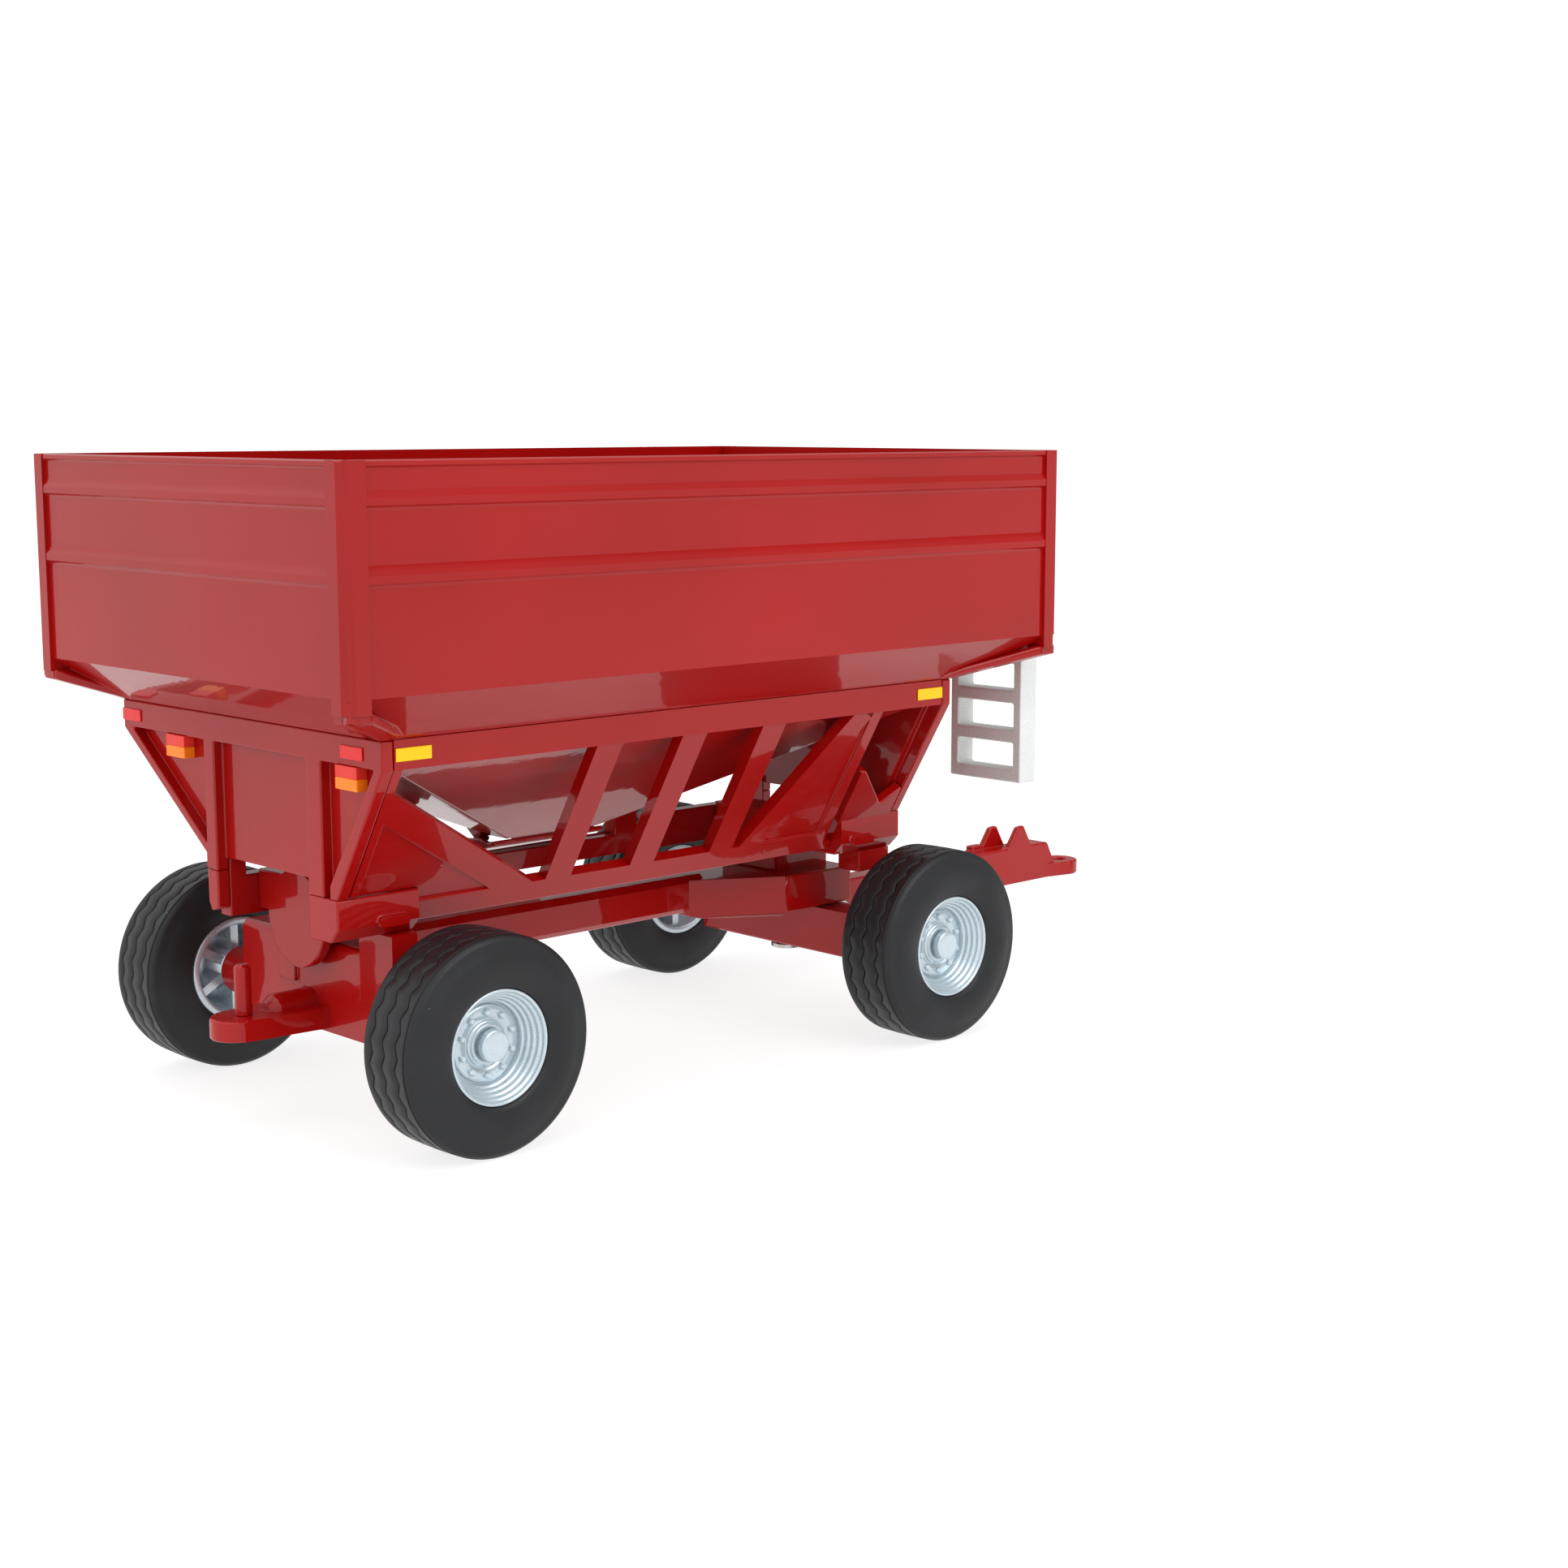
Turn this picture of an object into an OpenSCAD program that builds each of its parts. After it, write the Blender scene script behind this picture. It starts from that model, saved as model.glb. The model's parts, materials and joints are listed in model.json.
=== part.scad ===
// Four-wheel side-discharge grain wagon, a die-cast scale model.
// Millimetres. +X is forward, +Y is left, +Z is up. The origin is on the ground,
// under the middle of the overall length.

/* [Wheels] */
// Radius of the tyres over the tread
tyre_r = 17.5; // [15:0.5:21]
// Width of the tyres
tyre_w = 12; // [10:0.5:14.5]
// Radius of the rims over their lips
rim_r = 9.1; // [8:0.1:11]
// Distance between the middles of the left and right tyres
track = 74.4; // [72:0.2:90]
// Distance between the rear and front axles
wheelbase = 102.2; // [85:0.1:123]
// Radius of the steel axle rods
rod_r = 1.5; // [1.2:0.05:1.8]
// Running clearance, on the radius, of what turns on a rod or pin
run_gap = 0.05; // [0.02:0.01:0.09]
// Axial play at each side of what turns or slides
side_gap = 0.35; // [0.3:0.05:0.6]

/* [Box] */
// Length of the box over its walls
box_len = 153.8; // [128:0.2:185]
// Width of the box over its walls
box_w = 90.2; // [80:0.2:110]
// Height of the upright walls
wall_h = 33.6; // [24:0.2:42]
// Thickness of the box and hopper walls
wall_t = 1.2; // [1:0.1:2]
// Distance from the rear axle back to the rear wall
box_back = 27; // [18:0.5:40]
// Height of the box's lower edge above the axles
box_rise = 55.3; // [52:0.1:62]
// Width of the corner posts
post_w = 4.1; // [3:0.1:6]
// How far the corner posts stand proud of the walls
post_out = 0.6; // [0.3:0.1:0.9]
// Height of the pressed beads along the walls
bead_h = 2.7; // [1.5:0.1:4]
// How far the beads stand proud of the walls
bead_out = 0.5; // [0.3:0.1:1.2]
// How far the roll along the rim stands proud of the walls
rim_out = 0.4; // [0.2:0.1:0.8]
// Drop from the rim to the middle of the upper bead
bead_drop = 5.5; // [4:0.1:8]
// Spacing of the two beads
bead_pitch = 11; // [8:0.5:14]

/* [Frame] */
// Width of the frame over its top rails
frame_w = 75.6; // [70:0.2:79]
// Distance from the rear axle back to the rear end frame's face
frame_back = 16.7; // [14:0.1:20]
// Distance from the front axle forward to the front end frame's face
frame_front = 4.5; // [3.5:0.1:8]
// Height of the top rails' lower edge above the axles
rail_rise = 43.5; // [40:0.1:46]
// Height of the top rails
rail_h = 4.5; // [3:0.1:5.5]
// Thickness of the top rails
rail_t = 2.4; // [2:0.1:3]
// Thickness of the sloping side trusses
truss_t = 2; // [1.5:0.1:2.6]
// Distance from the middle to the right sill's outer edge
right_sill_y = 21.5; // [19:0.1:24]
// Distance from the middle to the left sill's outer edge
left_sill_y = 12.4; // [11:0.1:14]
// Height of the sills' lower edge above the axles
sill_rise = 16.5; // [15.5:0.1:18]
// Height of the sills
sill_h = 3.6; // [2.5:0.1:4.5]
// Spacing of the upright braces
brace_pitch = 18.05; // [15:0.05:20]
// Width of the upright braces
brace_w = 5.3; // [3:0.1:7]
// Width of the diagonals
diagonal_w = 4.8; // [3:0.1:6]
// Thickness of the end frames' plates
end_plate_t = 1.2; // [1:0.1:1.6]
// Depth of the recesses in the end frames
end_recess = 2.1; // [1:0.1:2.6]

/* [Running gear] */
// Depth of the rear axle casting, along the wagon
axle_d = 12; // [9:0.5:16]
// Half-width of the axle castings' deep middle
axle_core = 20; // [15:0.5:24]
// Radius of the axle castings' round ends
axle_end_r = 4.2; // [3:0.1:5]
// Width of the reach tube
reach_w = 6; // [4:0.1:8]
// Height of the reach tube
reach_h = 6.9; // [4:0.1:8]
// Half-width of the front yoke
yoke_w = 12.5; // [9:0.5:14]
// Radius of the kingpin
kingpin_r = 2; // [1.5:0.1:2.4]
// Radius of the rear hitch pin
hitch_r = 1.35; // [1:0.05:2]
// Free height of the rear hitch pin
hitch_h = 8.3; // [5:0.1:12]

/* [Tongue] */
// Distance from the front axle to the middle of the tongue's eye
tongue_reach = 81.8; // [60:0.2:100]
// Depth of the tongue bar
tongue_h = 7.8; // [5:0.1:9]
// Width of the tongue bar
tongue_w = 5; // [3.5:0.1:7]
// Radius of the hole in the tongue's eye
eye_r = 1.75; // [1.2:0.05:2.5]
// Outer radius of the tongue's eye
eye_out = 4; // [3.2:0.1:5]
// Thickness of the tongue's eye
eye_t = 3; // [2:0.1:4]
// Radius of the tongue's hinge pin
tongue_pin_r = 1.1; // [0.8:0.05:1.4]

/* [Fittings] */
// Length of the amber and red reflectors
reflector_l = 6.4; // [4:0.1:8]
// Height of the reflectors
reflector_h = 2; // [1.5:0.1:3]
// Width of the tail lights
lamp_w = 5.7; // [4:0.1:7]
// Height of the tail lights
lamp_h = 3.7; // [3:0.1:5]
// Width of the ladder
ladder_w = 17.7; // [12:0.1:20]
// Depth of the ladder
ladder_d = 4.5; // [3:0.1:6]
// Spacing of the ladder's rungs
rung_pitch = 7.5; // [6:0.1:9]
// Width of the discharge door
door_w = 19; // [14:0.5:22]
// Length of the discharge door up the slope
door_l = 11; // [9:0.5:13]
// Thickness of the discharge door
door_t = 1; // [0.8:0.1:1.4]
// How far the discharge door slides up
door_travel = 8; // [6:0.5:9]

/* [Hidden] */
$fn = 48;
WHEELS = ["rear_right", "rear_left", "front_right", "front_left"];

RED = "#b02822";
SILVER = "#cfd5d8";
BLACK = "#303030";
AMBER = "#ffbe1e";
EPS = 0.01;

// Lengthways places, from the rear axle; origin_x moves them to the part's own frame
box_x0 = -box_back;
box_x1 = box_x0 + box_len;
frame_x0 = -frame_back;
frame_x1 = wheelbase + frame_front;
frame_mid = (frame_x0 + frame_x1) / 2;
truss_x0 = frame_x0 + end_recess + 0.2;
truss_x1 = frame_x1 - end_recess - 0.2;
tongue_end = wheelbase + tongue_reach + eye_out;
origin_x = (box_x0 - max(post_out, bead_out, rim_out) + tongue_end) / 2;

// Heights above the ground
axle_z = tyre_r;
rail_z = axle_z + rail_rise;
rail_top = rail_z + rail_h;
box_z = axle_z + box_rise;
rim_z = box_z + wall_h;
sill_z = axle_z + sill_rise;
left_sill_z = sill_z - 1.9;
left_sill_top = left_sill_z + sill_h;
core_z = axle_z - 3.5;
core_top = axle_z + 11.5;
bolster_z = axle_z + 15.5;
bolster_top = axle_z + 22.5;
reach_z = axle_z + 4.1;
yoke_z = axle_z + 3.5;
yoke_top = axle_z + 10.3;
beam_z = axle_z - 5.5;
beam_top = yoke_z - 0.4;
tongue_z = axle_z - 2.9;

// Tongue hinge, in front of the front axle
hinge_x = wheelbase + 9.3;
hinge_z = axle_z;
ear_gap = 0.3;

// Place of the rear hitch pin, behind the rear axle, and the screws' hold in the bolsters
hitch_x = -18.4;
screw_bite = 3;

// Half-widths and slopes of the frame
frame_y = frame_w / 2;
bolster_right = 25;
bolster_d = 15;
channel_w = 3;
left_bend_z = axle_z + 25.1;
rail_inset = 0.3;
rail_bite = 0.3;
step = 0.1;
right_len = norm([frame_y - rail_inset - right_sill_y, rail_z - sill_z]);
right_tilt = 180 - atan2(rail_z - sill_z, frame_y - rail_inset - right_sill_y);
left_len = norm([frame_y - rail_inset - left_sill_y, rail_z - left_bend_z]);
left_tilt = 180 - atan2(rail_z - left_bend_z, frame_y - rail_inset - left_sill_y);

// Hopper mouth in the frame, and the narrow end over the door
mouth_y = frame_y - rail_t - 0.1;
mouth_x0 = frame_x0 + end_recess + end_plate_t + 0.1;
mouth_x1 = frame_x1 - end_recess - end_plate_t - 0.1;
throat_w = 20;
guide_t = 1.4;
throat_z = axle_z + 22.5;
throat_h = 1.5;
mouth_step = 1.3;
throat_y = mouth_y - mouth_step - (rail_z - throat_z) / tan(180 - left_tilt);

// Wheel proportions, from the tyre's middle plane outwards
lip_z = tyre_w / 2 - 0.13;
bead_r = rim_r - 0.5;
disc_z = 2.1;
disc_t = 1.4;
disc_r = 6.1;
hub_r = 3.6;
cap_r = 2.6;
rod_end = track / 2 + disc_z + 1.3;
clip_y = track / 2 + disc_z + 0.1;
clip_t = 0.8;
axle_end_y = track / 2 - tyre_w / 2 - side_gap;

// Shapes used by several parts ----------------------------------------------

// A block given by its lowest and highest corners
module block(low, high) {
    translate(low) cube(high - low);
}

// A bar along X whose section is a rectangle with its edges cut at 45 degrees
module chamfered_bar(x0, x1, w, z0, z1, cut) {
    y = w / 2;
    translate([x0, 0, 0]) rotate([90, 0, 90]) linear_extrude(x1 - x0)
        polygon([[-y + cut, z0], [y - cut, z0], [y, z0 + cut], [y, z1 - cut],
            [y - cut, z1], [-y + cut, z1], [-y, z1 - cut], [-y, z0 + cut]]);
}

// A pin along Y through (x, z)
module cross_pin(x, z, y0, y1, r) {
    translate([x, y1, z]) rotate([90, 0, 0]) cylinder(h = y1 - y0, r = r);
}

// A flat shape drawn as (x, distance up the slope) on a sloping side, thickness t inwards
module on_slope(y, z, tilt, t) {
    translate([0, -y, z]) rotate([tilt, 0, 0]) translate([0, 0, -t]) linear_extrude(t) children();
}

// A flat shape drawn as (y, z), standing across the wagon from x0 to x1
module across(x0, x1) {
    translate([x0, 0, 0]) rotate([90, 0, 90]) linear_extrude(x1 - x0) children();
}

// A flat shape drawn as (x, z), standing along the wagon from y0 to y1
module along(y0, y1) {
    translate([0, y1, 0]) rotate([90, 0, 0]) linear_extrude(y1 - y0) children();
}

// A flat band between two points
module band(a, b, w) {
    d = b - a;
    n = [-d[1], d[0]] / norm(d) * w / 2;
    polygon([a + n, b + n, b - n, a - n]);
}

// Rectangular slab between two corners of the plan
module slab(x0, x1, y, z0, z1) {
    block([x0, -y, z0], [x1, y, z1]);
}

// Places a wheel part, drawn with +Z outwards from the tyre's middle plane
module at_wheel(name) {
    front = name == "front_right" || name == "front_left";
    left = name == "rear_left" || name == "front_left";
    translate([front ? wheelbase : 0, (left ? 1 : -1) * track / 2, axle_z])
        rotate([left ? -90 : 90, 0, 0]) children();
}

// Box -------------------------------------------------------------------------

// Pressed bead along one wall, drawn along X against a wall that faces -Y
module bead(l) {
    half = bead_h / 2;
    rotate([90, 0, 90]) linear_extrude(l)
        polygon([[EPS, -half], [-bead_out, -half + 0.5], [-bead_out, half - 1.1], [EPS, half]]);
}

// Small roll along the rim, drawn along X against a wall that faces -Y
module rim_roll(l) {
    rotate([90, 0, 90]) linear_extrude(l)
        polygon([[EPS, -1.1], [-rim_out, -0.8], [-rim_out, -0.2], [EPS, 0]]);
}

// A wall detail repeated on the four walls, between the corner posts
module on_walls(z) {
    y = box_w / 2;
    x_in = post_w - post_out;
    translate([box_x0 + x_in, -y, z]) children(0);
    translate([box_x1 - x_in, y, z]) rotate([0, 0, 180]) children(0);
    translate([box_x0, y - x_in, z]) rotate([0, 0, -90]) children(1);
    translate([box_x1, -y + x_in, z]) rotate([0, 0, 90]) children(1);
}

// Corner post: a square with its outer corner cut off, and a smaller foot
module corner_post(sx, sy) {
    x = (sx < 0 ? box_x0 - post_out : box_x1 + post_out);
    y = sy * (box_w / 2 + post_out);
    w = post_w;
    for (part = [[box_z - 2.2, wall_h + 2.2, 0, 1.6], [box_z - 3.5, 2, 0.5, 2.2]]) {
        in = part[2];
        cut = part[3];
        translate([x, y, part[0]]) linear_extrude(part[1])
            polygon([[-sx * cut, -sy * in], [-sx * w, -sy * in], [-sx * w, -sy * w],
                [-sx * in, -sy * w], [-sx * in, -sy * cut]]);
    }
}

// Rib down the sloping corner, from the post's foot to the frame's corner
module hip_rib(sx, sy) {
    x_top = sx < 0 ? box_x0 : box_x1;
    x_low = sx < 0 ? frame_x0 : frame_x1;
    w = post_w;
    hull() {
        translate([x_top - sx * w, sy * (box_w / 2) - sy * w, box_z - 3.5])
            block([min(0, sx * w), min(0, sy * w), 0], [max(0, sx * w), max(0, sy * w), 1.5]);
        translate([x_low - sx * w, sy * frame_y - sy * w, rail_top])
            block([min(0, sx * w), min(0, sy * w), 0], [max(0, sx * w), max(0, sy * w), 1]);
    }
}

module hopper_box() color(RED) {
    difference() {
        union() {
            slab(box_x0, box_x1, box_w / 2, box_z, rim_z);
            hull() {
                slab(box_x0, box_x1, box_w / 2, box_z, box_z + 1);
                slab(frame_x0, frame_x1, frame_y, rail_top, rail_top + 1);
            }
            for (sx = [-1, 1], sy = [-1, 1]) {
                corner_post(sx, sy);
                hip_rib(sx, sy);
            }
        }
        slab(box_x0 + wall_t, box_x1 - wall_t, box_w / 2 - wall_t, box_z, rim_z + 1);
        hull() {
            slab(box_x0 + wall_t, box_x1 - wall_t, box_w / 2 - wall_t, box_z, box_z + 1);
            slab(mouth_x0 + wall_t, mouth_x1 - wall_t, mouth_y - wall_t, rail_top - 1, rail_top + 1);
        }
    }
    side_l = box_len - 2 * (post_w - post_out);
    end_l = box_w - 2 * (post_w - post_out);
    on_walls(rim_z - bead_drop) { bead(side_l); bead(end_l); }
    on_walls(rim_z - bead_drop - bead_pitch) { bead(side_l); bead(end_l); }
    on_walls(rim_z) { rim_roll(side_l); rim_roll(end_l); }
}

// Solid form of the hopper below the frame's top, set in by the wall thickness t
module funnel_form(t) {
    top = t > 0 ? rail_top + 1 : rail_top;
    floor_z = throat_z + 1.2 * t;
    floor_top = t > 0 ? floor_z + 0.3 : throat_z + throat_h;
    hull() {
        slab(mouth_x0 + t, mouth_x1 - t, mouth_y - t, rail_top - 1.5, top);
        slab(mouth_x0 + t, mouth_x1 - t, mouth_y - mouth_step - 1.2 * t, rail_z + t, rail_z + t + 0.5);
        block([frame_mid - throat_w / 2, throat_y - 5, floor_z],
            [frame_mid + throat_w / 2, throat_y - 1.8 * t, floor_top]);
    }
}

// A shape on the hopper's left slope, (x from the wagon's middle, distance up from the throat)
module on_left_slope(lift, t) {
    translate([frame_mid, throat_y, throat_z]) rotate([180 - left_tilt, 0, 0])
        translate([0, 0, -lift - t]) linear_extrude(t) children();
}

module hopper_funnel() color(RED) difference() {
    funnel_form(0);
    funnel_form(wall_t);
    on_left_slope(-3, 6) translate([-door_w / 2 + 1.5, 1.6]) square([door_w - 3, door_l - 2.4]);
}

// Discharge door: a plate with a lifting lip, which slides up the left slope
module discharge_door() color(RED) {
    on_left_slope(side_gap, door_t) translate([-door_w / 2, 1]) square([door_w, door_l]);
    on_left_slope(side_gap + door_t - EPS, 1.6) translate([-4, door_l - 1]) square([8, 1.2]);
}

// Two channels that hold the door's edges against the slope
module door_guides() color(RED) for (side = [-1, 1]) {
    x = side * (door_w / 2 + side_gap);
    length = door_l + door_travel + 1;
    on_left_slope(0, 2 * side_gap + door_t)
        translate([side < 0 ? x - guide_t : x, 1]) square([guide_t, length]);
    on_left_slope(2 * side_gap + door_t - EPS, 0.8)
        translate([side < 0 ? x - guide_t : x - 1.2, 1]) square([guide_t + 1.2, length]);
}

// Open tray that leads the grain out over the left sill, with a knee where it clears the sill
module discharge_chute() color(RED) {
    floor_t = 1;
    lip_h = 3.5;
    inner_w = door_w / 2 + side_gap + guide_t;
    head = [throat_y - 4, throat_z - 0.3];
    knee = [left_sill_y + 1, left_sill_top + floor_t + 0.2];
    foot = [left_sill_y + 15, left_sill_top - 4];
    down = [0, -floor_t];
    translate([frame_mid, 0, 0]) {
        across(-inner_w - floor_t, inner_w + floor_t)
            polygon([head + down, knee + down, foot + down, foot, knee, head]);
        for (side = [-1, 1]) translate([side < 0 ? -inner_w - floor_t : inner_w, 0, 0])
            across(0, floor_t) polygon([head + down, knee + down, foot + down / 2, foot + [0, lip_h],
                knee + [-2, lip_h * 0.6], head + [4, 0]]);
    }
}

// Frame -----------------------------------------------------------------------

// Outline of an end frame below its top rail; in is how far the sloping edges are set in
module end_outline(in) {
    left_edge = in > 0.2 ? left_sill_y - channel_w - 1.4 : left_sill_y;
    polygon([[frame_y - in * 1.6, rail_z], [left_edge, left_bend_z - in * 0.2],
        [left_edge, bolster_top - 0.1], [-bolster_right + in * 1.1, bolster_top - 0.1],
        [-frame_y + in * 1.3, rail_z]]);
}

// One end frame; toward is -1 at the rear and 1 at the front
module end_frame(toward) {
    face = toward < 0 ? frame_x0 : frame_x1;
    inner = face - toward * end_recess;
    back = inner - toward * end_plate_t;
    lo = min(face, inner);
    hi = max(face, inner);
    // top rail, with a lip that turns in under the box
    across(lo, hi) square_at(-frame_y, frame_y, rail_z, rail_top);
    across(min(inner, back), max(inner, back))
        square_at(mouth_step - mouth_y, mouth_y - mouth_step, rail_z - EPS, rail_top);
    // plate behind the recesses
    across(min(inner, back) - EPS, max(inner, back) + EPS) difference() {
        end_outline(truss_t + 0.5);
        square_at(-right_sill_y + 4.3, left_sill_y - channel_w, 0, bolster_top + 1.9);
    }
    // raised frame: two channels and the two sloping edges
    across(lo - EPS, hi + EPS) {
        square_at(left_sill_y - channel_w, left_sill_y, bolster_top - 0.1, rail_z + EPS);
        square_at(-right_sill_y + 0.1, -right_sill_y + 4.3, bolster_top - 0.1, rail_z + EPS);
        difference() {
            end_outline(0);
            end_outline_core();
        }
    }
    // sunk face between the raised members
    across(min(inner, inner + toward * 0.3), max(inner, inner + toward * 0.3)) difference() {
        end_outline(0.2);
        square_at(-right_sill_y + 4.3, left_sill_y - channel_w, 0, bolster_top + 1.9);
    }
}

module square_at(y0, y1, z0, z1) {
    translate([y0, z0]) square([y1 - y0, z1 - z0]);
}

// What is left open inside the raised edges of an end frame
module end_outline_core() {
    polygon([[frame_y - 3.2, rail_z + 1], [frame_y - 3.2, rail_z - 0.4],
        [left_sill_y - 0.2, left_bend_z + 1.4], [left_sill_y - 0.2, 0], [-bolster_right + 1.9, 0],
        [-bolster_right + 1.9, bolster_top + 2], [-frame_y + 2.3, rail_z], [-frame_y + 2.3, rail_z + 1]]);
}

module end_frame_rear() color(RED) end_frame(-1);

module end_frame_front() color(RED) end_frame(1);

// Height on a sloping truss of a point at height z
function up(z, top, tilt) = (z - top) / sin(tilt);

// Sloping truss of the right side, drawn flat: diagonals, braces, sill and gussets
module right_truss(deep) {
    foot = -right_len;
    sill = foot + sill_h / sin(right_tilt);
    x_cut = frame_x0 + bolster_d + 0.1;
    z_cut = up(bolster_top, rail_z, right_tilt);
    rear_top = [truss_x0, -6.5];
    rear_foot = [frame_mid - 25, foot + 2.4];
    front_top = [frame_mid + 40, 0];
    front_foot = [frame_mid + 24.5, foot + 2.8];
    if (deep) {
        intersection() {
            union() {
                translate([truss_x0, z_cut]) square([truss_x1 - truss_x0, rail_bite - z_cut]);
                translate([x_cut, foot]) square([truss_x1 - x_cut, right_len]);
            }
            union() {
                band(rear_top + [-6, 3.8], rear_foot, diagonal_w);
                translate(rear_foot) circle(d = diagonal_w);
                translate(rear_foot + [-3, -2.4]) square([3 + diagonal_w / 2 - 0.4, 3]);
                band(front_foot, front_top, diagonal_w);
                translate(front_foot) circle(d = diagonal_w);
                translate(front_foot + [-0.6, -2.8]) square([4, 3]);
            }
        }
        for (i = [-1 : 1])
            translate([frame_mid + i * brace_pitch - brace_w / 2, foot])
                square([brace_w, right_len + rail_bite]);
        translate([x_cut, foot]) square([frame_mid + 44.5 - x_cut, sill - foot]);
        translate([frame_mid + 40, foot]) square([frame_x1 - bolster_d - frame_mid - 40, 2]);
        translate([truss_x0, z_cut]) square([1.6, rail_bite - z_cut]);
        translate([frame_mid + 42, foot]) square([2.5, right_len + rail_bite]);
    } else {
        polygon([rear_top, rear_foot, [rear_foot[0], sill - 0.5], [x_cut, foot + 0.5],
            [x_cut, z_cut], [truss_x0, z_cut]]);
        polygon([front_foot, front_top + [0, rail_bite], [frame_mid + 43, rail_bite],
            [frame_mid + 43, foot + 0.5], [front_foot[0] + 3, foot + 0.5]]);
    }
}

// Top rail of one side; side is -1 on the right and 1 on the left
module side_rail(side) {
    y0 = side < 0 ? -frame_y : frame_y - rail_t;
    block([truss_x0 - step, y0, rail_z], [truss_x1 + step, y0 + rail_t, rail_top]);
}

module side_frame_right() color(RED) {
    side_rail(-1);
    on_slope(frame_y - rail_inset, rail_z, right_tilt, truss_t) right_truss(true);
    on_slope(frame_y - rail_inset - 0.6, rail_z, right_tilt, truss_t - 0.9) right_truss(false);
}

// Left side: a shallow slope over the discharge, then an upright skirt down to the sill
module left_members(top, foot, lean, grow) {
    for (side = [-1, 1]) {
        x_brace = frame_mid + side * 24.5 - brace_w / 2;
        x_end = side < 0 ? truss_x0 : truss_x1 - 3;
        translate([x_brace - grow, foot]) square([brace_w + 2 * grow, top - foot + rail_bite]);
        translate([side < 0 ? x_end : x_end - grow, foot]) square([3 + grow, top - foot + rail_bite]);
        if (lean) band([frame_mid + side * (frame_mid - truss_x0 - 1), top - 2],
            [frame_mid + side * 30, foot + 1.5], diagonal_w);
    }
}

module side_frame_left() color(RED) {
    side_rail(1);
    mirror([0, 1, 0]) on_slope(frame_y - rail_inset, rail_z, left_tilt, truss_t) intersection() {
        translate([truss_x0 + step, -left_len - rail_bite])
            square([truss_x1 - truss_x0 - 2 * step, left_len + 2 * rail_bite]);
        left_members(0, -left_len - rail_bite, true, 0);
    }
    along(left_sill_y - channel_w, left_sill_y) {
        left_members(left_bend_z, left_sill_z, false, step);
        translate([truss_x0, left_sill_z]) square([truss_x1 - truss_x0, sill_h]);
        for (side = [-1, 1]) translate([side < 0 ? truss_x0 : frame_mid + 30, left_sill_z])
            square([frame_mid - 30 - truss_x0, 6.5]);
    }
}

// Cross member under an end frame; toward is -1 at the rear and 1 at the front
module bolster(x_face, toward) {
    x_in = x_face - toward * bolster_d;
    lo = min(x_face, x_in);
    hi = max(x_face, x_in);
    left = left_sill_y - channel_w;
    foot_y = -right_sill_y + 4.3;
    cut = 2.2;
    top = bolster_top - 0.1;
    // right foot under the end frame's channel, its lower corners cut off
    across(lo, hi) polygon([[-bolster_right, top], [-bolster_right, bolster_z + cut],
        [-bolster_right + cut, bolster_z], [foot_y - 0.6, bolster_z], [foot_y, bolster_z + 0.6],
        [foot_y, top]]);
    // left foot, outside the left sill's end
    x_end = (toward < 0 ? truss_x0 : truss_x1) + toward * 0.05;
    across(min(x_face, x_end), max(x_face, x_end))
        polygon([[left, top], [left, bolster_z + 0.8], [left_sill_y - 0.9, bolster_z],
            [left_sill_y, bolster_z + 1.5], [left_sill_y, top]]);
    // web between the feet
    web = x_face - toward * 7.5;
    across(min(web, x_in), max(web, x_in)) square_at(foot_y - EPS, left, bolster_z, top - 0.5);
    // raised oval pad on the right-hand end
    pad_x = x_face - toward * 10;
    pad_y = -bolster_right - 0.8;
    for (dx = [-2, 2]) cross_pin(pad_x + dx, bolster_z + 2.6, pad_y, pad_y + 1.8, 0.8);
    block([pad_x - 2, pad_y, bolster_z + 1.8], [pad_x + 2, pad_y + 1.8, bolster_z + 3.4]);
}

module rear_bolster() color(RED) difference() {
    tab_x = frame_x0 + 7.5;
    tab_r = 8;
    union() {
        bolster(frame_x0, -1);
        // rounded plate that hangs behind the axle casting
        across(tab_x, tab_x + 1.8) {
            translate([-1.5, bolster_z - 0.4]) circle(r = tab_r);
            square_at(-1.5 - tab_r, -1.5 + tab_r, bolster_z - 0.4, bolster_top - 1);
        }
    }
    screw_holes(rear_screw_places(), bolster_z - 1, bolster_z + screw_bite);
}

module front_bolster() color(RED) difference() {
    // cheek that fills the corner under the front end frame, cut away in a vee
    x1 = truss_x1 - 0.1;
    foot = up(bolster_top - 1, rail_z, right_tilt);
    union() {
        bolster(frame_x1, 1);
        on_slope(frame_y - 0.1, rail_z, right_tilt, truss_t) polygon([[x1, foot], [x1, foot + 6.8],
            [x1 - 4, foot + 3.6], [x1 - 12, foot + 12], [x1 - 13.2, foot + 12], [x1 - 13.2, foot]]);
        block([wheelbase - 4.2, -23.5, bolster_z - 4], [wheelbase + 3.6, -18, bolster_z + EPS]);
    }
    screw_holes(yoke_screw_places(), bolster_z - 1, bolster_z + screw_bite);
}

// Running gear ------------------------------------------------------------------

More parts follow.
